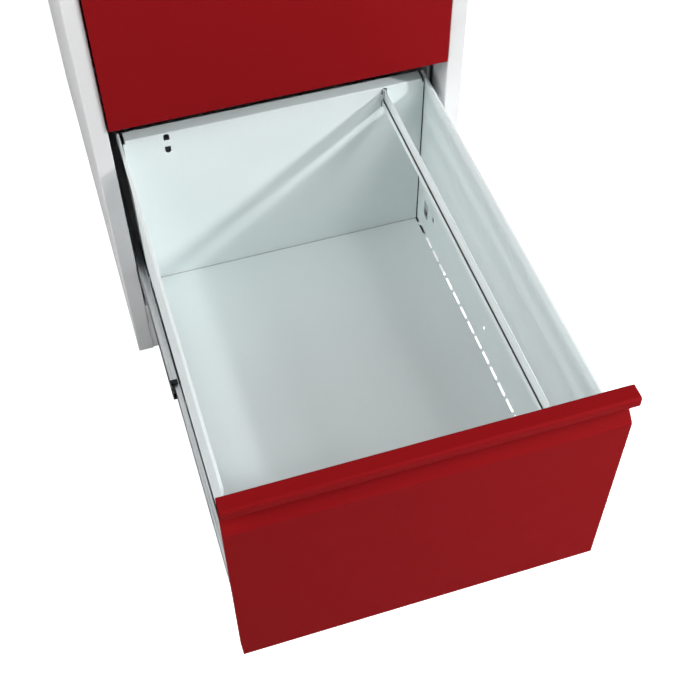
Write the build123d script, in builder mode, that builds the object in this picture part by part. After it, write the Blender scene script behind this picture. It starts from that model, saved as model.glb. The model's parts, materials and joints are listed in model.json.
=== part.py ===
from build123d import *
import math
import os

# Two-drawer steel filing cabinet, millimetres. X is across, Y runs from the front (-) to the back (+)
# and Z is up. The origin is on the floor, at the centre of the carcass footprint.
# At rest the lower drawer stands fully open and the upper drawer is shut.

# carcass
width = 457.0
depth = 622.0
height = 711.0
sheet = 1.0
post_width = 21.0
post_depth = 45.0
rear_flange = 16.0
base_rail_height = 89.2
base_rail_return = 13.0
base_rail_recess = 1.0
base_frame_height = 40.0
base_frame_flange = 25.0
base_frame_front = -264.5
top_edge_height = 3.5
hidden_rail_bottom = 680.0
top_rear_flange = 21.0

# drawer fronts
front_half_width = 206.0
front_height = 305.0
lower_front_bottom = 92.5
drawer_pitch = 307.5
front_proud = 4.0
travel = 520.0

# section of the rolled pull, from the main face (y) and from the front's bottom edge (z)
slope_start = 259.4
web_y = 14.3
slope_end = 272.3
nose_proud = 2.9
nose_bottom = 285.3
nose_return = 7.6
nose_bend = 9.2
front_return = 15.0

# drawer body, from the main face (y) and from the front's bottom edge (z)
inner_front_y = 15.35
inner_front_back = 16.5
inner_front_top = 302.4
inner_front_half_width = 204.8
wall_inner = 193.0
hem_outer = 196.5
hem_leg = 10.0
floor_top = 10.5
wall_top = 258.0
back_wall_y = 556.4
drawer_end = 573.0
back_notch_width = 2.6
back_notch_depth = 4.5
back_flange_drop = 16.0
bend_slot_first = 520.5
bend_slot_length = 21.0
bend_slot_width = 4.0
bend_slot_pitch = 26.55
bend_slot_count = 19
hook_hole_y = 525.2
hook_hole_width = 13.7
hook_hole_low = 41.5
hook_hole_high = 68.0
slit_width = 5.2
slit_height = 8.0
slits = [(498.0, 61.5), (309.8, 49.0)]

# file rail slots, in the back wall and in the inner front
rail_slot_x = 139.0
rail_slot_width = 7.2
upper_slot_low = 246.5
upper_slot_high = 256.3
lower_slot_low = 226.6
lower_slot_high = 237.1

# file rail: an upright strip with its lower edge turned up
rail_web_right = 140.0
rail_lip_left = 136.2
rail_low = 229.5
rail_lip_top = 237.5
rail_high = 255.0
rail_hook_left = 136.9
rail_hook_width = 1.8
rail_hook_gap = 1.75
rail_hook_tip = 3.3
rail_root_depth = 2.0

# telescopic slides: three nested channels on each side, with balls between them
slide_front = -243.0
slide_length = 507.0
slide_height = 58.2
slide_sheet = 1.2
cabinet_member_half = 19.5
cabinet_member_tip = 199.5
cabinet_member_web = 208.1
middle_member_half = 15.5
middle_member_tip = 197.2
middle_member_web = 206.2
drawer_member_half = 11.5
drawer_member_web = 195.2
drawer_member_tip = 202.0
race_radius = 3.0
race_depth = 0.3
outer_ball_x = 202.8
outer_ball_radius = 1.5
inner_ball_x = 199.6
inner_ball_radius = 1.5
balls_per_strip = 6
cage_length = 230.0
cage_front_closed_outer = -106.0
cage_front_closed_inner = -111.0
stop_length = 5.5

# lock in the right-hand post, with a lifting bar behind it
lock_x = 218.0
lock_z = 690.0
pin_radius_from_axis = 5.5
pin_radius = 1.5
catch_z = 190.0
catch_height = 12.0
hook_height = 10.0

half_width = width / 2
front_y = -depth / 2
rear_y = depth / 2 - 1.0
panel_rear_y = rear_y - sheet
post_inner_x = half_width - post_width
post_back_y = front_y + post_depth
closed_face_y = front_y - front_proud
pin_drop = pin_radius_from_axis * math.sin(math.radians(45))
os.makedirs("parts", exist_ok=True)


def save(piece, name):
    piece.part.label = name
    export_step(piece.part, f"parts/{name}.step")


def folded(plane, points, radii, thickness=sheet, side=Side.RIGHT):
    """Section of a folded sheet: a path with rounded bends, thickened to one side."""
    with BuildSketch(plane) as section:
        with BuildLine():
            FilletPolyline(*points, radius=radii)
            offset(amount=thickness, side=side)
        make_face()
    return section.sketch


def across(y):
    """Plane that faces forward at depth y, with X and Z as its own axes."""
    return Plane.XZ.offset(-y)


def save_pair(right, left_name, right_name):
    """Write a right-hand piece and its mirror image."""
    save(right, right_name)
    with BuildPart() as left:
        mirror(right.part, about=Plane.YZ)
    save(left, left_name)


# ---------------------------------------------------------------- carcass

post_outline = [
    (half_width - rear_flange, panel_rear_y),
    (half_width, panel_rear_y),
    (half_width, front_y),
    (post_inner_x, front_y),
    (post_inner_x, post_back_y),
    (half_width - 2 * sheet - 0.1, post_back_y),
]

# side panel: one sheet whose front edge folds into a box-section post and whose rear edge folds in
with BuildPart() as right_side_panel:
    extrude(folded(Plane.XY, post_outline, 1.8), amount=height - sheet)
with BuildPart() as left_side_panel:
    mirror(right_side_panel.part, about=Plane.YZ)
save(left_side_panel, "left_side_panel")

# the right-hand post is pierced for the lock housing
with BuildPart() as lock_side_panel:
    add(right_side_panel.part)
    with BuildSketch(across(post_back_y + 1)):
        with Locations((lock_x, lock_z)):
            Circle(8.1)
    extrude(amount=post_depth + 2, mode=Mode.SUBTRACT)
save(lock_side_panel, "right_side_panel")

# top: a sheet over the whole carcass, folded at the front into a thin edge and a rail that hangs
# behind the upper drawer front, and folded down at the back
top_outline = [
    (front_y + 14.5, hidden_rail_bottom),
    (front_y + 14.5, height - top_edge_height),
    (front_y, height - top_edge_height),
    (front_y, height),
    (rear_y, height),
    (rear_y, height - top_rear_flange),
]
with BuildPart() as top_panel:
    extrude(
        folded(Plane.YZ.offset(-post_inner_x + 0.2), top_outline, [1.5, 1.5, 1.2, 1.5]),
        amount=2 * (post_inner_x - 0.2),
    )
    with BuildSketch(Plane.XY.offset(height - sheet)):
        with Locations((0, (front_y + rear_y) / 2)):
            RectangleRounded(width, rear_y - front_y, 2)
    extrude(amount=sheet)
save(top_panel, "top_panel")

with BuildPart() as back_panel:
    with BuildSketch(across(rear_y)):
        with Locations((0, (height - top_rear_flange - 0.5 + 1) / 2)):
            RectangleRounded(width - 2.2, height - top_rear_flange - 1.5, 3)
    extrude(amount=sheet)
save(back_panel, "back_panel")

base_rail_outline = [
    (front_y + base_rail_return, 0),
    (front_y + base_rail_recess, 0),
    (front_y + base_rail_recess, base_rail_height),
    (front_y + base_rail_return, base_rail_height),
]
with BuildPart() as base_rail:
    extrude(
        folded(Plane.YZ.offset(-post_inner_x + 0.2), base_rail_outline, 1.8),
        amount=2 * (post_inner_x - 0.2),
    )
save(base_rail, "base_rail")

# base frame: a folded ring that stands on the floor inside the panels
frame_width = width - 2 * sheet - 0.4
frame_length = panel_rear_y - 1.2 - base_frame_front
with BuildPart() as base_frame:
    with BuildSketch():
        with Locations((0, base_frame_front + frame_length / 2)):
            RectangleRounded(frame_width, frame_length, 2)
    extrude(amount=base_frame_height)
    with BuildSketch(Plane.XY.offset(sheet)):
        with Locations((0, base_frame_front + frame_length / 2)):
            Rectangle(frame_width - 2 * sheet, frame_length - 2 * sheet)
    extrude(amount=base_frame_height, mode=Mode.SUBTRACT)
    with BuildSketch():
        with Locations((0, base_frame_front + frame_length / 2)):
            RectangleRounded(
                frame_width - 2 * base_frame_flange,
                frame_length - 2 * base_frame_flange,
                12,
            )
    extrude(amount=sheet, mode=Mode.SUBTRACT)
save(base_frame, "base_frame")

# slide uprights: open channels that carry the slides between the side panel and the drawers
upright_face = 208.2
upright_outer = half_width - 2 * sheet - 0.3
upright_width = 30.0
upright_places = {"front": -248.0, "rear": 225.0}


def make_upright(place, y):
    outline = [
        (upright_outer, y),
        (upright_face, y),
        (upright_face, y + upright_width),
        (upright_outer, y + upright_width),
    ]
    with BuildPart() as upright:
        extrude(
            folded(Plane.XY.offset(sheet), outline, 2.0, slide_sheet),
            amount=height - 3 * sheet,
        )
    save_pair(upright, f"left_{place}_upright", f"right_{place}_upright")


for upright_place, upright_y in upright_places.items():
    make_upright(upright_place, upright_y)

# domed rivets along both edges of the back panel
with BuildPart() as back_rivets:
    with BuildSketch(across(rear_y + 1)):
        with Locations((0, height / 2 - 10)):
            with GridLocations(width - 16, 104, 2, 7):
                Circle(3)
    extrude(amount=1)
    fillet(back_rivets.faces().filter_by(Axis.Y).group_by(Axis.Y)[-1].edges(), 0.7)
save(back_rivets, "back_rivets")


# ---------------------------------------------------------------- slides

def channel(inner_x, outer_x, centre_z, half, opens_in=True):
    """Section of one slide member: a C that opens to the drawer or away from it."""
    tip, web = (inner_x, outer_x) if opens_in else (outer_x, inner_x)
    points = [
        (tip, centre_z + half),
        (web, centre_z + half),
        (web, centre_z - half),
        (tip, centre_z - half),
    ]
    return points, (Side.RIGHT if opens_in else Side.LEFT)


def make_cabinet_member(name, z):
    points, side = channel(cabinet_member_tip, cabinet_member_web, z, cabinet_member_half)
    with BuildPart() as member:
        section = folded(across(slide_front + slide_length), points, 2.0, slide_sheet, side)
        extrude(section, amount=slide_length)
    save_pair(member, f"{name}_left_cabinet_slide", f"{name}_right_cabinet_slide")


def cut_races(back, length, centre_x, centre_z, half):
    """Shallow races along the outsides of both flanges, which the balls run in."""
    for up in (-1, 1):
        with BuildSketch(across(back + 1)) as race:
            with Locations((centre_x, centre_z + up * (half + race_radius - race_depth))):
                Circle(race_radius)
        extrude(race.sketch, amount=length + 2, mode=Mode.SUBTRACT)


def make_middle_member(name, z, shift):
    points, side = channel(middle_member_tip, middle_member_web, z, middle_member_half)
    back = slide_front + slide_length - shift
    with BuildPart() as member:
        extrude(folded(across(back), points, 1.8, slide_sheet, side), amount=slide_length)
        cut_races(back, slide_length, outer_ball_x, z, middle_member_half)
        # tongue of the web, between the two stop blocks
        with BuildSketch(across(back - slide_length)):
            with Locations((middle_member_web - slide_sheet / 2, z)):
                Rectangle(slide_sheet, 22)
        extrude(amount=stop_length + 1.5)
        # row of oval lightening slots along the web
        for slot_y in range(60, int(slide_length) - 40, 100):
            with BuildSketch(Plane.YZ.offset(200)):
                with Locations((back - slot_y, z)):
                    SlotOverall(40, 9)
            extrude(amount=10, mode=Mode.SUBTRACT)
    save_pair(member, f"{name}_left_middle_slide", f"{name}_right_middle_slide")


def make_stops(name, z, shift):
    """Black plastic blocks on the front ends of the middle members, above and below the tongue."""
    front = slide_front - shift
    with BuildPart() as stops:
        for side in (-1, 1):
            for up in (-1, 1):
                with BuildSketch(across(front)):
                    with Locations((side * 201.6, z + up * 14.05)):
                        RectangleRounded(8.8, 4.3, 0.9)
                extrude(amount=stop_length)
    save(stops, f"{name}_slide_stops")


def make_cages(name, z, front, centre_x, centre_up, radius):
    """Ball strips above and below the members: thin perforated strips, each with its row of balls."""
    pitch = cage_length / balls_per_strip
    with BuildPart() as cages:
        for side in (-1, 1):
            for up in (-1, 1):
                level = z + up * centre_up
                with BuildSketch(Plane.XY.offset(level - 0.35)):
                    with Locations((side * centre_x, front + cage_length / 2)):
                        RectangleRounded(4.6, cage_length, 1.0)
                        with GridLocations(0, pitch, 1, balls_per_strip):
                            Circle(radius + 0.12, mode=Mode.SUBTRACT)
                extrude(amount=0.7)
        for side in (-1, 1):
            for up in (-1, 1):
                for ball in range(balls_per_strip):
                    ball_y = front + pitch * (ball + 0.5)
                    with Locations((side * centre_x, ball_y, z + up * centre_up)):
                        Sphere(radius)
    save(cages, name)


# ---------------------------------------------------------------- drawers

def make_front(name, face, bottom):
    """Coloured front: face, sloping finger groove and rolled lip, folded from one sheet."""
    outline = [
        (face + front_return, bottom),
        (face, bottom),
        (face, bottom + slope_start),
        (face + web_y, bottom + slope_end),
        (face + web_y, bottom + front_height - sheet),
        (face - nose_proud + sheet, bottom + front_height - sheet),
        (face - nose_proud + sheet, bottom + nose_bottom + sheet),
        (face + nose_return, bottom + nose_bottom + sheet),
    ]
    radii = [1.3, 8.0, 3.0, 0.4, 2.0, nose_bend]
    with BuildPart() as front:
        section = folded(Plane.YZ.offset(-front_half_width), outline, radii)
        extrude(section, amount=2 * front_half_width)
        # side returns of the main face
        for plane_x in (-front_half_width, front_half_width - sheet):
            with BuildSketch(Plane.YZ.offset(plane_x)):
                with BuildLine():
                    Polyline(
                        (face + 0.6, bottom + 0.6),
                        (face + front_return, bottom + 0.6),
                        (face + front_return, bottom + slope_end - 8),
                        (face + 0.6, bottom + slope_start - 6),
                        close=True,
                    )
                make_face()
            extrude(amount=sheet)
    save(front, f"{name}_front")


def cut_rail_slots(y, bottom):
    """Sketch of the four D-shaped openings that take the hooks of the file rail."""
    radius = rail_slot_width / 2
    with BuildSketch(across(y)) as slots:
        for side in (-1, 1):
            with Locations((side * rail_slot_x, bottom + upper_slot_high - radius)):
                Circle(radius)
            with Locations((side * rail_slot_x, bottom + lower_slot_low + radius)):
                Circle(radius)
            upper_flat = upper_slot_high - radius - upper_slot_low
            with Locations((side * rail_slot_x, bottom + upper_slot_low + upper_flat / 2)):
                Rectangle(rail_slot_width, upper_flat)
            lower_flat = lower_slot_high - radius - lower_slot_low
            with Locations((side * rail_slot_x, bottom + lower_slot_high - lower_flat / 2)):
                Rectangle(rail_slot_width, lower_flat)
    return slots.sketch


def make_inner_front(name, face, bottom):
    """White liner that closes the back of the coloured front, with short forward returns."""
    outline = [
        (-inner_front_half_width, face + 4),
        (-inner_front_half_width, face + inner_front_back),
        (inner_front_half_width, face + inner_front_back),
        (inner_front_half_width, face + 4),
    ]
    thickness = inner_front_back - inner_front_y
    with BuildPart() as liner:
        section = folded(Plane.XY.offset(bottom + 1.6), outline, 1.6, thickness)
        extrude(section, amount=slope_start - 14)
        with BuildSketch(across(face + inner_front_back)):
            with Locations((0, bottom + inner_front_top - 29.5)):
                RectangleRounded(2 * inner_front_half_width - 4, 59, 1.5)
        extrude(amount=thickness)
        extrude(
            cut_rail_slots(face + inner_front_back + 1, bottom),
            amount=thickness + 2,
            mode=Mode.SUBTRACT,
        )
    save(liner, f"{name}_inner_front")


def make_shell(name, face, bottom):
    """Drawer body: both walls and the floor in one sheet, bent along two rows of slots."""
    low = bottom + floor_top
    high = bottom + wall_top
    outline = [
        (-hem_outer, high - hem_leg),
        (-hem_outer, high),
        (-wall_inner, high),
        (-wall_inner, low),
        (wall_inner, low),
        (wall_inner, high),
        (hem_outer, high),
        (hem_outer, high - hem_leg),
    ]
    length = drawer_end - inner_front_back
    with BuildPart() as shell:
        section = folded(across(face + drawer_end), outline, [1.2, 1.2, 1.5, 1.5, 1.2, 1.2])
        extrude(section, amount=length)
        for side in (-1, 1):
            for slot in range(-1, bend_slot_count):
                slot_y = face + bend_slot_first - slot * bend_slot_pitch
                with BuildSketch(Plane.XY.offset(low - 2)):
                    with Locations((side * wall_inner, slot_y + bend_slot_length / 2)):
                        RectangleRounded(bend_slot_width, bend_slot_length, 1.2)
                extrude(amount=4.2, mode=Mode.SUBTRACT)
            # openings for the hooks of the slides, and two slits
            hook_hole_height = hook_hole_high - hook_hole_low
            with BuildSketch(Plane.YZ.offset(side * (wall_inner + 0.5) - 1)):
                with Locations((face + hook_hole_y, bottom + hook_hole_low + hook_hole_height / 2)):
                    RectangleRounded(hook_hole_width, hook_hole_height, 1.2)
                for slit_y, slit_z in slits:
                    with Locations((face + slit_y, bottom + slit_z)):
                        RectangleRounded(slit_width, slit_height, 0.8)
            extrude(amount=2, mode=Mode.SUBTRACT)
    save(shell, f"{name}_shell")


def make_back(name, face, bottom):
    """Back wall of the drawer: a pan whose top folds away from the files, with joggled side flanges."""
    low = bottom + floor_top + 0.4
    high = bottom + wall_top
    pan_half = wall_inner - 1.5
    flange_outer = wall_inner - 0.1
    wall = face + back_wall_y
    with BuildPart() as back:
        outline = [(wall, low), (wall, high), (face + drawer_end, high)]
        extrude(folded(Plane.YZ.offset(-pan_half), outline, 1.2), amount=2 * pan_half)
        # side flanges step out to the drawer walls, clear of the bends at the floor
        for side in (-1, 1):
            with BuildSketch(Plane.XY.offset(low + 2)):
                with BuildLine():
                    Polyline(
                        (side * (pan_half - 2), wall),
                        (side * (pan_half - 0.2), wall),
                        (side * flange_outer, wall + 3.5),
                        (side * flange_outer, face + drawer_end - 2),
                        (side * (flange_outer - sheet), face + drawer_end - 2),
                        (side * (flange_outer - sheet), wall + 3.9),
                        (side * (pan_half - 1), wall + sheet),
                        (side * (pan_half - 2), wall + sheet),
                        close=True,
                    )
                make_face()
            extrude(amount=high - low - back_flange_drop)
        slots = cut_rail_slots(wall + 3, bottom)
        extrude(slots, amount=4, mode=Mode.SUBTRACT)
        # notches at the ends of the top fold
        notch_reach = 2 * (drawer_end - back_wall_y + sheet)
        for side in (-1, 1):
            with Locations((side * pan_half, wall, high)):
                Box(2 * back_notch_width, notch_reach, 2 * back_notch_depth, mode=Mode.SUBTRACT)
    save(back, f"{name}_back")


def make_file_rail(name, face, bottom):
    """Rail for hanging files: an upright strip, its lower edge turned up, hooked in at each end."""
    web_left = rail_web_right - sheet
    outline = [
        (rail_lip_left, bottom + rail_lip_top),
        (rail_lip_left, bottom + rail_low),
        (rail_web_right, bottom + rail_low),
        (rail_web_right, bottom + rail_high),
    ]
    start = face + inner_front_back + 0.3
    end = face + back_wall_y - 0.3
    hook_root = bottom + upper_slot_low + 0.7
    hook_low = bottom + upper_slot_low - 3.8
    hook_high = bottom + rail_high - 0.5
    with BuildPart() as rail:
        section = folded(across(end), outline, 1.2, sheet, Side.LEFT)
        extrude(section, amount=end - start)
        for tip, step in ((end, 1), (start, -1)):
            # hook in the upper opening, set to the left of the web, and its root
            with BuildSketch(Plane.YZ.offset(rail_hook_left)):
                with BuildLine():
                    Polyline(
                        (tip - step * rail_root_depth, hook_root),
                        (tip + step * rail_hook_gap, hook_root),
                        (tip + step * rail_hook_gap, hook_low),
                        (tip + step * rail_hook_tip, hook_low),
                        (tip + step * rail_hook_tip, hook_high),
                        (tip - step * rail_root_depth, hook_high),
                        close=True,
                    )
                make_face()
            extrude(amount=rail_hook_width)
            with BuildSketch(Plane.YZ.offset(rail_hook_left)):
                with Locations((tip - step * rail_root_depth / 2, (hook_root + hook_high) / 2)):
                    Rectangle(rail_root_depth, hook_high - hook_root)
            extrude(amount=rail_web_right - rail_hook_left)
            # tongue in the lower opening
            with BuildSketch(Plane.YZ.offset(web_left)):
                with Locations((tip, bottom + (lower_slot_low + lower_slot_high) / 2 + 0.8)):
                    Rectangle(3.5, 6.0)
            extrude(amount=sheet)
    save(rail, f"{name}_file_rail")


def make_drawer_member(name, face, bottom):
    """Innermost slide channel, riveted to the drawer wall, with a hook through the wall."""
    z = bottom + slide_height
    back = face + drawer_end
    length = drawer_end - inner_front_back - 3.5
    points, side = channel(drawer_member_web, drawer_member_tip, z, drawer_member_half, opens_in=False)
    tongue_low = hook_hole_low + 13
    tongue_high = hook_hole_high - 0.5
    with BuildPart() as member:
        extrude(folded(across(back), points, 1.8, slide_sheet, side), amount=length)
        cut_races(back, length, inner_ball_x, z, drawer_member_half)
        # holes in the web behind the openings of the drawer wall
        with BuildSketch(Plane.YZ.offset(drawer_member_web - 1)):
            with Locations((face + hook_hole_y, bottom + tongue_low - 3.5)):
                RectangleRounded(hook_hole_width, 6, 1.5)
            for slit_y, slit_z in slits:
                with Locations((face + slit_y, max(bottom + slit_z, z - 6))):
                    RectangleRounded(slit_width, slit_height, 0.8)
        extrude(amount=3, mode=Mode.SUBTRACT)
        # hook: a tongue lying in the wall's opening, on a root that rises from the web
        with BuildSketch(Plane.YZ.offset(wall_inner + 0.1)):
            with Locations((face + hook_hole_y, bottom + (tongue_low + tongue_high) / 2)):
                Rectangle(hook_hole_width - 1.2, tongue_high - tongue_low)
        extrude(amount=0.9)
        with BuildSketch(Plane.YZ.offset(wall_inner + sheet)):
            with Locations((face + hook_hole_y, bottom + tongue_low + 2.5)):
                Rectangle(8, 4)
        extrude(amount=drawer_member_web - wall_inner - sheet + 0.1)
    save_pair(member, f"{name}_left_drawer_slide", f"{name}_right_drawer_slide")


def make_slide_rivets(name, face, bottom):
    """Rivets that hold the drawer members: a spacer at the wall and a head in the channel."""
    z = bottom + slide_height
    with BuildPart() as rivets:
        for side in (-1, 1):
            for rivet_y in (60.0, 250.0, 440.0):
                with BuildSketch(Plane.YZ.offset(side * 194.6 - 0.6)):
                    with Locations((face + rivet_y, z)):
                        Circle(4)
                extrude(amount=1.2)
                with BuildSketch(Plane.YZ.offset(side * 196.95 - 0.55)):
                    with Locations((face + rivet_y, z)):
                        Circle(3.5)
                extrude(amount=1.1)
    save(rivets, f"{name}_slide_rivets")


def make_catch(name, face, bottom):
    """Angle bracket on the right wall, which the hook of the lock bar stands in front of."""
    tab_y = face + 63.0
    wall_outer = wall_inner + sheet
    with BuildPart() as catch:
        with BuildSketch(Plane.XY.offset(bottom + catch_z)):
            with BuildLine():
                Polyline(
                    (wall_outer, tab_y),
                    (206.5, tab_y),
                    (206.5, tab_y + 1.5),
                    (wall_outer + 1.5, tab_y + 1.5),
                    (wall_outer + 1.5, tab_y + 14),
                    (wall_outer, tab_y + 14),
                    close=True,
                )
            make_face()
        extrude(amount=catch_height)
        fillet(catch.edges().filter_by(Axis.Z).group_by(Axis.X)[-1], 0.6)
    save(catch, f"{name}_lock_catch")


def make_drawer(name, bottom, opening):
    """All the pieces of one drawer and of its pair of slides, drawn out by the opening."""
    face = closed_face_y - opening
    z = bottom + slide_height
    make_front(name, face, bottom)
    make_inner_front(name, face, bottom)
    make_shell(name, face, bottom)
    make_back(name, face, bottom)
    make_file_rail(name, face, bottom)
    make_drawer_member(name, face, bottom)
    make_slide_rivets(name, face, bottom)
    make_catch(name, face, bottom)
    make_cabinet_member(name, z)
    make_middle_member(name, z, opening / 2)
    make_stops(name, z, opening / 2)
    outer_up = (cabinet_member_half - slide_sheet + middle_member_half - race_depth) / 2
    inner_up = (middle_member_half - slide_sheet + drawer_member_half - race_depth) / 2
    outer_front = cage_front_closed_outer - opening / 4
    inner_front = cage_front_closed_inner - opening * 3 / 4
    make_cages(f"{name}_outer_balls", z, outer_front, outer_ball_x, outer_up, outer_ball_radius)
    make_cages(f"{name}_inner_balls", z, inner_front, inner_ball_x, inner_up, inner_ball_radius)


make_drawer("lower", lower_front_bottom, travel)
make_drawer("upper", lower_front_bottom + drawer_pitch, 0.0)

# pan-head screws that hold the cabinet members to the uprights
with BuildPart() as slide_screws:
    for screw_bottom in (lower_front_bottom, lower_front_bottom + drawer_pitch):
        for screw_side in (-1, 1):
            for screw_y in (-233.0, 240.0):
                with BuildSketch(Plane.YZ.offset(screw_side * 206.65 - 0.25)):
                    with Locations((screw_y, screw_bottom + slide_height)):
                        Circle(3.8)
                extrude(amount=0.5)
save(slide_screws, "slide_screws")


# ---------------------------------------------------------------- lock

# fixed housing through the post, with a round collar on the outside
with BuildPart() as lock_housing:
    with BuildSketch(across(post_back_y + 1)):
        with Locations((lock_x, lock_z)):
            Circle(8)
            Circle(5.56, mode=Mode.SUBTRACT)
    extrude(amount=post_depth + 1)
    with BuildSketch(across(front_y)):
        with Locations((lock_x, lock_z)):
            Circle(9.2)
            Circle(5.56, mode=Mode.SUBTRACT)
    extrude(amount=1.4)
    fillet(lock_housing.faces().sort_by(Axis.Y)[0].outer_wire().edges(), 0.6)
save(lock_housing, "lock_housing")

# nut that clamps the housing inside the post
with BuildPart() as lock_nut:
    with BuildSketch(across(front_y + sheet + 3.2)):
        with Locations((lock_x, lock_z)):
            RegularPolygon(9.2, 6, major_radius=False, rotation=30)
            Circle(8.05, mode=Mode.SUBTRACT)
    extrude(amount=3)
save(lock_nut, "lock_nut")

# turning plug with a key slot
plug_back = post_back_y + 5.0
with BuildPart() as lock_plug:
    with BuildSketch(across(plug_back)):
        with Locations((lock_x, lock_z)):
            Circle(5.5)
    extrude(amount=plug_back - front_y + 1.0)
    with BuildSketch(across(front_y + 9)):
        with Locations((lock_x, lock_z)):
            Rectangle(1.3, 6.5)
    extrude(amount=12, mode=Mode.SUBTRACT)
save(lock_plug, "lock_plug")

# cam on the back of the plug, with an eccentric pin that lifts the bar
pin_x = lock_x + pin_drop
pin_z = lock_z - pin_drop
with BuildPart() as lock_cam:
    with BuildSketch(across(plug_back + 1.5)):
        with Locations((lock_x, lock_z)):
            Circle(5.5)
        with Locations((pin_x, pin_z)):
            Circle(3)
    extrude(amount=1.5)
    with BuildSketch(across(plug_back + 6.5)):
        with Locations((pin_x, pin_z)):
            Circle(pin_radius)
    extrude(amount=5)
save(lock_cam, "lock_cam")

# lock bar: a strip behind the post, a slotted head round the pin and one hook for each drawer
bar_x = 210.0
bar_front = post_back_y + 3.0
bar_back = post_back_y + 14.0
head_y = plug_back + 4.5
with BuildPart() as lock_bar:
    with BuildSketch(Plane.XY.offset(262)):
        with Locations((bar_x + 1, (bar_front + bar_back) / 2)):
            Rectangle(2, bar_back - bar_front)
    extrude(amount=lock_z - 12 - 262)
    with BuildSketch(across(head_y)):
        with Locations((bar_x + 8.4, pin_z - 4)):
            Rectangle(16.8, 18)
        with Locations((lock_x + 4.5, pin_z)):
            Rectangle(6.6, 2 * (pin_radius + 0.35), mode=Mode.SUBTRACT)
    extrude(amount=1.5)
    for hook_bottom in (lower_front_bottom, lower_front_bottom + drawer_pitch):
        hook_top = hook_bottom + catch_z - 1.5
        with BuildSketch(Plane.XY.offset(hook_top - hook_height)):
            with Locations(((202.5 + bar_x + 1) / 2, bar_back - 3)):
                Rectangle(bar_x + 1 - 202.5, 2)
        extrude(amount=hook_height)
save(lock_bar, "lock_bar")

# clips on the back of the post that keep the bar in line
with BuildPart() as lock_bar_clips:
    for clip_z in (350.0, 640.0):
        with BuildSketch(Plane.XY.offset(clip_z)):
            with BuildLine():
                Polyline(
                    (bar_x + 2.3, post_back_y),
                    (bar_x + 3.5, post_back_y),
                    (bar_x + 3.5, bar_back + 2),
                    (bar_x - 0.7, bar_back + 2),
                    (bar_x - 0.7, bar_back + 0.8),
                    (bar_x + 2.3, bar_back + 0.8),
                    close=True,
                )
            make_face()
        extrude(amount=12)
save(lock_bar_clips, "lock_bar_clips")
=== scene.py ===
import json
import math

import bpy
from mathutils import Matrix, Vector


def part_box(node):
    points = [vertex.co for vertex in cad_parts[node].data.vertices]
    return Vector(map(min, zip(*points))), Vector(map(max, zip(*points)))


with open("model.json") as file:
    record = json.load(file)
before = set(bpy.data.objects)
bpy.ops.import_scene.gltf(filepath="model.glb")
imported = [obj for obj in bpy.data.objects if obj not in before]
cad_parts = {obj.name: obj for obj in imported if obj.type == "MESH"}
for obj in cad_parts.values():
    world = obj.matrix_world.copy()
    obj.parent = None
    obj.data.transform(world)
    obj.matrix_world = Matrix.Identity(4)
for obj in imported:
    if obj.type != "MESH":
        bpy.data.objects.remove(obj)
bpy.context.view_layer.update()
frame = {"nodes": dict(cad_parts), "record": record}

# camera: place in metres, angles in degrees, field of view as a lens on a 36 mm sensor
CAMERA_PLACE = (-0.25570, -1.37697, 1.30595)
CAMERA_YAW = 17.599
CAMERA_PITCH = -51.882
CAMERA_ROLL = -0.212
CAMERA_LENS = 60.714
SENSOR_WIDTH = 36.0

# colours, in linear light
CARCASS_WHITE = (0.72, 0.722, 0.728)
DRAWER_WHITE = (0.780, 0.842, 0.842)
RED = (0.228, 0.0060, 0.0080)
ZINC = (0.70, 0.71, 0.72)
NICKEL = (0.72, 0.71, 0.69)
BLACK = (0.006, 0.006, 0.007)
FLOOR = (0.88, 0.88, 0.88)

# where the lamps aim: the open drawer, and the back of the cabinet
OPEN_DRAWER = (0.0, -0.50, 0.20)
CABINET_BACK = (0.0, 0.30, 0.35)

# studio lamps: name, place, aim, diameter, power in watts
LAMPS = (
    ("key", (2.00, -1.80, 1.70), OPEN_DRAWER, 0.20, 52.0),
    ("top", (1.30, -1.80, 2.40), OPEN_DRAWER, 1.00, 33.0),
    ("front_low", (0.95, -1.55, 0.45), OPEN_DRAWER, 0.40, 3.6),
    ("left", (-3.00, -0.60, 0.90), OPEN_DRAWER, 1.20, 38.0),
    ("left_high", (-2.00, -1.00, 2.20), OPEN_DRAWER, 1.40, 29.0),
    ("back", (-1.20, 3.00, 1.20), CABINET_BACK, 1.60, 30.0),
)

# strengths of the sky on the part, in reflections and as a backdrop, and of the paper floor
SKY_LIGHT = 0.015
SKY_IN_REFLECTIONS = 0.42
BACKDROP = 0.95
FLOOR_GLOW = 0.70
FLOOR_REACH = 8.0

# paint detail in metres: how far the painted shade in seams and corners reaches, and how far edges
# round, wear and take a painted highlight
PAINTED_SHADE_REACH = 0.005
EDGE_ROUNDING = 0.0006
EDGE_WEAR_AND_HIGHLIGHT = 0.0008
STRIP_EDGE_ROUNDING = 0.0004

# grain in features per metre
PEEL_GRAIN = 420.0
FINE_PEEL_GRAIN = 1500.0
SPECK_GRAIN = 900.0
TONE_DRIFT = 3.0
HANDLING_MARKS = 14.0
WEAR_PATCHES = 60.0
ROLLING_LINES = 260.0
ZINC_CRYSTALS = 120.0
PLATE_HAZE = 300.0
PLATE_RIPPLE = 900.0
MOULD_GRAIN = 1200.0


# ---------------------------------------------------------------- camera, lights and floor

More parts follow.
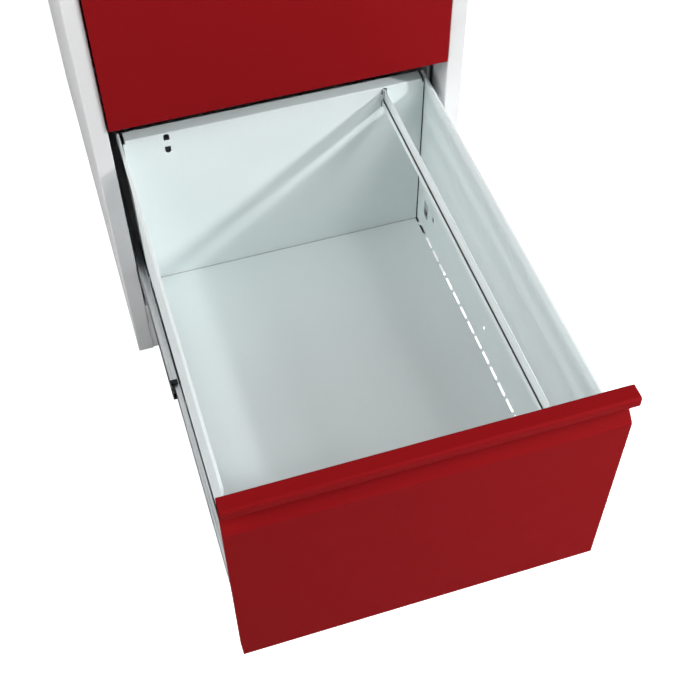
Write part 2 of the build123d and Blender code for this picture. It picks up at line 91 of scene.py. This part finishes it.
def make_camera():
    """Camera that stands above and to the left of the open drawer and looks down into it."""
    yaw = math.radians(CAMERA_YAW)
    pitch = math.radians(CAMERA_PITCH)
    roll = math.radians(CAMERA_ROLL)
    forward = Vector((
        math.sin(yaw) * math.cos(pitch),
        math.cos(yaw) * math.cos(pitch),
        math.sin(pitch),
    ))
    right = forward.cross(Vector((0, 0, 1))).normalized()
    up = right.cross(forward)
    right_rolled = right * math.cos(roll) + up * math.sin(roll)
    up_rolled = up * math.cos(roll) - right * math.sin(roll)
    data = bpy.data.cameras.new("camera")
    data.lens = CAMERA_LENS
    data.sensor_width = SENSOR_WIDTH
    data.clip_start = 0.05
    data.clip_end = 50
    camera = bpy.data.objects.new("camera", data)
    turn = Matrix((right_rolled, up_rolled, -forward)).transposed()
    camera.matrix_world = Matrix.Translation(CAMERA_PLACE) @ turn.to_4x4()
    bpy.context.scene.collection.objects.link(camera)
    bpy.context.scene.camera = camera


def make_lamp(name, place, target, size, power):
    """Round soft lamp that faces its target."""
    data = bpy.data.lights.new(name, "AREA")
    data.shape = "DISK"
    data.size = size
    data.energy = power
    lamp = bpy.data.objects.new(name, data)
    lamp.location = place
    aim = Vector(target) - Vector(place)
    lamp.rotation_euler = aim.to_track_quat("-Z", "Y").to_euler()
    bpy.context.scene.collection.objects.link(lamp)


def make_world():
    """Faint light from above, brighter in reflections, and a pale backdrop behind the part."""
    world = bpy.data.worlds.new("studio")
    world.use_nodes = True
    tree = world.node_tree
    direction = tree.nodes.new("ShaderNodeTexCoord").outputs["Generated"]
    split = tree.nodes.new("ShaderNodeSeparateXYZ")
    tree.links.new(direction, split.inputs["Vector"])
    rays = tree.nodes.new("ShaderNodeLightPath")
    mirrored = ramp(tree, rays.outputs["Is Glossy Ray"], SKY_LIGHT, SKY_IN_REFLECTIONS, 0.0, 1.0)
    above = ramp(tree, split.outputs["Z"], 0.0, 1.0, -0.05, 0.05)
    lit = math_node(tree, "MULTIPLY", above, mirrored)
    seen = ramp(tree, rays.outputs["Is Camera Ray"], 0.0, BACKDROP, 0.0, 1.0)
    background = tree.nodes["Background"]
    background.inputs["Color"].default_value = (1.0, 1.0, 1.0, 1)
    tree.links.new(math_node(tree, "ADD", lit, seen), background.inputs["Strength"])
    bpy.context.scene.world = world


def floor_material(name, glow):
    """Matt paper whose glow only the camera sees, so that it lights nothing."""
    material, shader, tree = new_material(name)
    shader.inputs["Base Color"].default_value = (*FLOOR, 1)
    shader.inputs["Roughness"].default_value = 0.9
    shader.inputs["Specular IOR Level"].default_value = 0.1
    shader.inputs["Emission Color"].default_value = (1, 1, 1, 1)
    rays = tree.nodes.new("ShaderNodeLightPath")
    seen_glow = ramp(tree, rays.outputs["Is Camera Ray"], 0.0, glow, 0.0, 1.0)
    tree.links.new(seen_glow, shader.inputs["Emission Strength"])
    return material


def make_floor():
    """White paper that looks lit from behind, except under the cabinet, where it is plain."""
    low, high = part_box("base_frame")
    xs = (-FLOOR_REACH, low[0], high[0], FLOOR_REACH)
    ys = (-FLOOR_REACH, low[1], high[1], FLOOR_REACH)
    corners = [(x, y, 0) for y in ys for x in xs]
    cells = [(column, row) for row in range(3) for column in range(3)]
    faces = [(4 * r + c, 4 * r + c + 1, 4 * r + c + 5, 4 * r + c + 4) for c, r in cells]
    mesh = bpy.data.meshes.new("floor")
    mesh.from_pydata(corners, [], faces)
    mesh.materials.append(floor_material("floor_paper", FLOOR_GLOW))
    mesh.materials.append(floor_material("floor_under_cabinet", 0.0))
    mesh.polygons[cells.index((1, 1))].material_index = 1
    floor = bpy.data.objects.new("floor", mesh)
    floor.visible_glossy = False
    bpy.context.scene.collection.objects.link(floor)


# ---------------------------------------------------------------- materials

def new_material(name):
    material = bpy.data.materials.new(name)
    material.use_nodes = True
    tree = material.node_tree
    shader = tree.nodes["Principled BSDF"]
    return material, shader, tree


def object_coordinates(tree):
    return tree.nodes.new("ShaderNodeTexCoord").outputs["Object"]


def noise(tree, scale, detail=2.0, roughness=0.5, stretch=None):
    """Noise in the object's own space, in features per metre, stretched along an axis if asked."""
    source = object_coordinates(tree)
    if stretch is not None:
        mapping = tree.nodes.new("ShaderNodeMapping")
        mapping.inputs["Scale"].default_value = stretch
        tree.links.new(source, mapping.inputs["Vector"])
        source = mapping.outputs["Vector"]
    node = tree.nodes.new("ShaderNodeTexNoise")
    node.inputs["Scale"].default_value = scale
    node.inputs["Detail"].default_value = detail
    node.inputs["Roughness"].default_value = roughness
    tree.links.new(source, node.inputs["Vector"])
    return node.outputs["Fac"]


def ramp(tree, value, low, high, from_low=0.35, from_high=0.65):
    node = tree.nodes.new("ShaderNodeMapRange")
    node.inputs["From Min"].default_value = from_low
    node.inputs["From Max"].default_value = from_high
    node.inputs["To Min"].default_value = low
    node.inputs["To Max"].default_value = high
    tree.links.new(value, node.inputs["Value"])
    return node.outputs["Result"]


def math_node(tree, operation, first, second):
    node = tree.nodes.new("ShaderNodeMath")
    node.operation = operation
    for socket, value in zip(node.inputs, (first, second)):
        if isinstance(value, (int, float)):
            socket.default_value = value
        else:
            tree.links.new(value, socket)
    return node.outputs["Value"]


def mix_colors(tree, factor, first, second):
    node = tree.nodes.new("ShaderNodeMix")
    node.data_type = "RGBA"
    for socket, value in (("A", first), ("B", second)):
        target = next(s for s in node.inputs if s.name == socket and s.type == "RGBA")
        if isinstance(value, tuple):
            target.default_value = (*value, 1)
        else:
            tree.links.new(value, target)
    tree.links.new(factor, node.inputs["Factor"])
    return next(s for s in node.outputs if s.type == "RGBA")


def bump(tree, shader, height, strength, distance, under=None):
    node = tree.nodes.new("ShaderNodeBump")
    node.inputs["Strength"].default_value = strength
    node.inputs["Distance"].default_value = distance
    tree.links.new(height, node.inputs["Height"])
    if under is not None:
        tree.links.new(under, node.inputs["Normal"])
    tree.links.new(node.outputs["Normal"], shader.inputs["Normal"])
    return node.outputs["Normal"]


def scaled(color, factor):
    return tuple(c * factor for c in color)


def painted_crevice_shade(tree, reach):
    """1 on open surfaces, falling to 0 in gaps and inside corners narrower than the reach; it masks
    the painted shade there.
    """
    node = tree.nodes.new("ShaderNodeAmbientOcclusion")
    node.samples = 8
    node.inputs["Distance"].default_value = reach
    return ramp(tree, node.outputs["AO"], 0.0, 1.0, 0.28, 0.62)


def rounded_edges(tree, radius):
    """Normal that turns over the cut edges of the sheet, so they catch the light."""
    node = tree.nodes.new("ShaderNodeBevel")
    node.samples = 6
    node.inputs["Radius"].default_value = radius
    return node.outputs["Normal"]


def worn_and_highlit_edges(tree, radius):
    """0 on flat sheet, rising towards 1 along cut edges and tight bends; it masks edge wear and a
    painted highlight there.
    """
    around = tree.nodes.new("ShaderNodeVectorMath")
    around.operation = "DOT_PRODUCT"
    face = tree.nodes.new("ShaderNodeNewGeometry").outputs["Normal"]
    tree.links.new(rounded_edges(tree, radius), around.inputs[0])
    tree.links.new(face, around.inputs[1])
    patchy = ramp(tree, noise(tree, WEAR_PATCHES, 4.0, 0.7), 0.25, 1.0)
    turned = ramp(tree, around.outputs["Value"], 1.0, 0.0, 0.70, 0.99)
    return math_node(tree, "MULTIPLY", patchy, turned)


def powder_coat(name, color, roughness, peel=0.12, level=0.5):
    """Baked powder paint: orange peel, drifting tone, painted shade in seams and corners, soft
    edges that are slightly worn and lightened as a painted highlight.
    """
    material, shader, tree = new_material(name)
    drift = ramp(tree, noise(tree, TONE_DRIFT, 3.0), 0.0, 1.0)
    body = mix_colors(tree, drift, scaled(color, 0.975), scaled(color, 1.02))
    speck = ramp(tree, noise(tree, SPECK_GRAIN, 1.0), 0.0, 1.0, 0.3, 0.75)
    grained = mix_colors(tree, speck, body, scaled(color, 0.985))
    # edge wear and painted highlight: base colour lightened by 12% in patches along cut edges and
    # tight bends
    worn_and_highlit = mix_colors(tree, worn_and_highlit_edges(tree, EDGE_WEAR_AND_HIGHLIGHT), grained, scaled(color, 1.12))
    # painted shade: base colour darkened to 6% in gaps and inside corners, where shade falls
    shade_painted = mix_colors(tree, painted_crevice_shade(tree, PAINTED_SHADE_REACH), scaled(color, 0.06), worn_and_highlit)
    tree.links.new(shade_painted, shader.inputs["Base Color"])
    marks = noise(tree, HANDLING_MARKS, 4.0, 0.6)
    handled = ramp(tree, marks, roughness - 0.03, roughness + 0.05)
    tree.links.new(handled, shader.inputs["Roughness"])
    shader.inputs["Specular IOR Level"].default_value = level
    edges = rounded_edges(tree, EDGE_ROUNDING)
    coarse = bump(tree, shader, noise(tree, PEEL_GRAIN, 1.0), peel, 0.0002, edges)
    bump(tree, shader, noise(tree, FINE_PEEL_GRAIN, 2.0), peel * 0.6, 0.0001, coarse)
    return material


def rolled_steel(name, color, roughness):
    """Zinc-plated strip: fine rolling lines along Y with faint crystals."""
    material, shader, tree = new_material(name)
    lines = noise(tree, ROLLING_LINES, 3.0, 0.6, (1.0, 0.02, 1.0))
    crystals = noise(tree, ZINC_CRYSTALS, 2.0, 0.5)
    tone = mix_colors(tree, ramp(tree, lines, 0, 1), scaled(color, 0.86), scaled(color, 1.08))
    tone = mix_colors(tree, ramp(tree, crystals, 0, 0.5), tone, scaled(color, 0.92))
    tree.links.new(tone, shader.inputs["Base Color"])
    shader.inputs["Metallic"].default_value = 1.0
    tree.links.new(ramp(tree, lines, roughness - 0.06, roughness + 0.1), shader.inputs["Roughness"])
    bump(tree, shader, lines, 0.15, 0.0001, rounded_edges(tree, STRIP_EDGE_ROUNDING))
    return material


def bright_metal(name, color, roughness):
    """Polished or plated metal with a faint haze and ripple."""
    material, shader, tree = new_material(name)
    haze = noise(tree, PLATE_HAZE, 3.0)
    tree.links.new(
        mix_colors(tree, ramp(tree, haze, 0, 1), scaled(color, 0.9), color),
        shader.inputs["Base Color"],
    )
    shader.inputs["Metallic"].default_value = 1.0
    tree.links.new(ramp(tree, haze, roughness, roughness + 0.08), shader.inputs["Roughness"])
    bump(tree, shader, noise(tree, PLATE_RIPPLE, 2.0), 0.05, 0.0001)
    return material


def moulded_plastic(name, color, roughness):
    """Dull moulded plastic with a fine, slightly lighter grain."""
    material, shader, tree = new_material(name)
    grain = noise(tree, MOULD_GRAIN, 2.0)
    tree.links.new(
        mix_colors(tree, ramp(tree, grain, 0, 1), color, scaled(color, 1.5)),
        shader.inputs["Base Color"],
    )
    tree.links.new(ramp(tree, grain, roughness - 0.05, roughness + 0.1), shader.inputs["Roughness"])
    shader.inputs["Specular IOR Level"].default_value = 0.2
    bump(tree, shader, grain, 0.3, 0.0002)
    return material


def paint(name, material):
    mesh = frame["nodes"][name].data
    mesh.materials.clear()
    mesh.materials.append(material)


def paint_nodes():
    """Give each CAD node its slot's finish, and the drawers a cooler white than the carcass."""
    made = {
        "white_paint": powder_coat("carcass_paint", CARCASS_WHITE, 0.38),
        "drawer_paint": powder_coat("drawer_paint", DRAWER_WHITE, 0.38),
        "red_paint": powder_coat("red_paint", RED, 0.6, level=0.02),
        "zinc_steel": rolled_steel("zinc_steel", ZINC, 0.32),
        "bright_plate": bright_metal("bright_plate", NICKEL, 0.16),
        "ball_steel": bright_metal("ball_steel", scaled(NICKEL, 0.95), 0.08),
        "black_plastic": moulded_plastic("black_plastic", BLACK, 0.5),
    }
    for entry in frame["record"]["subparts"]:
        paint(entry["node"], made[entry["material_slot"]])
    for drawer in ("lower", "upper"):
        for piece in ("inner_front", "shell", "back", "file_rail", "lock_catch"):
            paint(f"{drawer}_{piece}", made["drawer_paint"])


bpy.context.scene.view_settings.view_transform = "Standard"
make_camera()
make_floor()
make_world()
for lamp_settings in LAMPS:
    make_lamp(*lamp_settings)
paint_nodes()
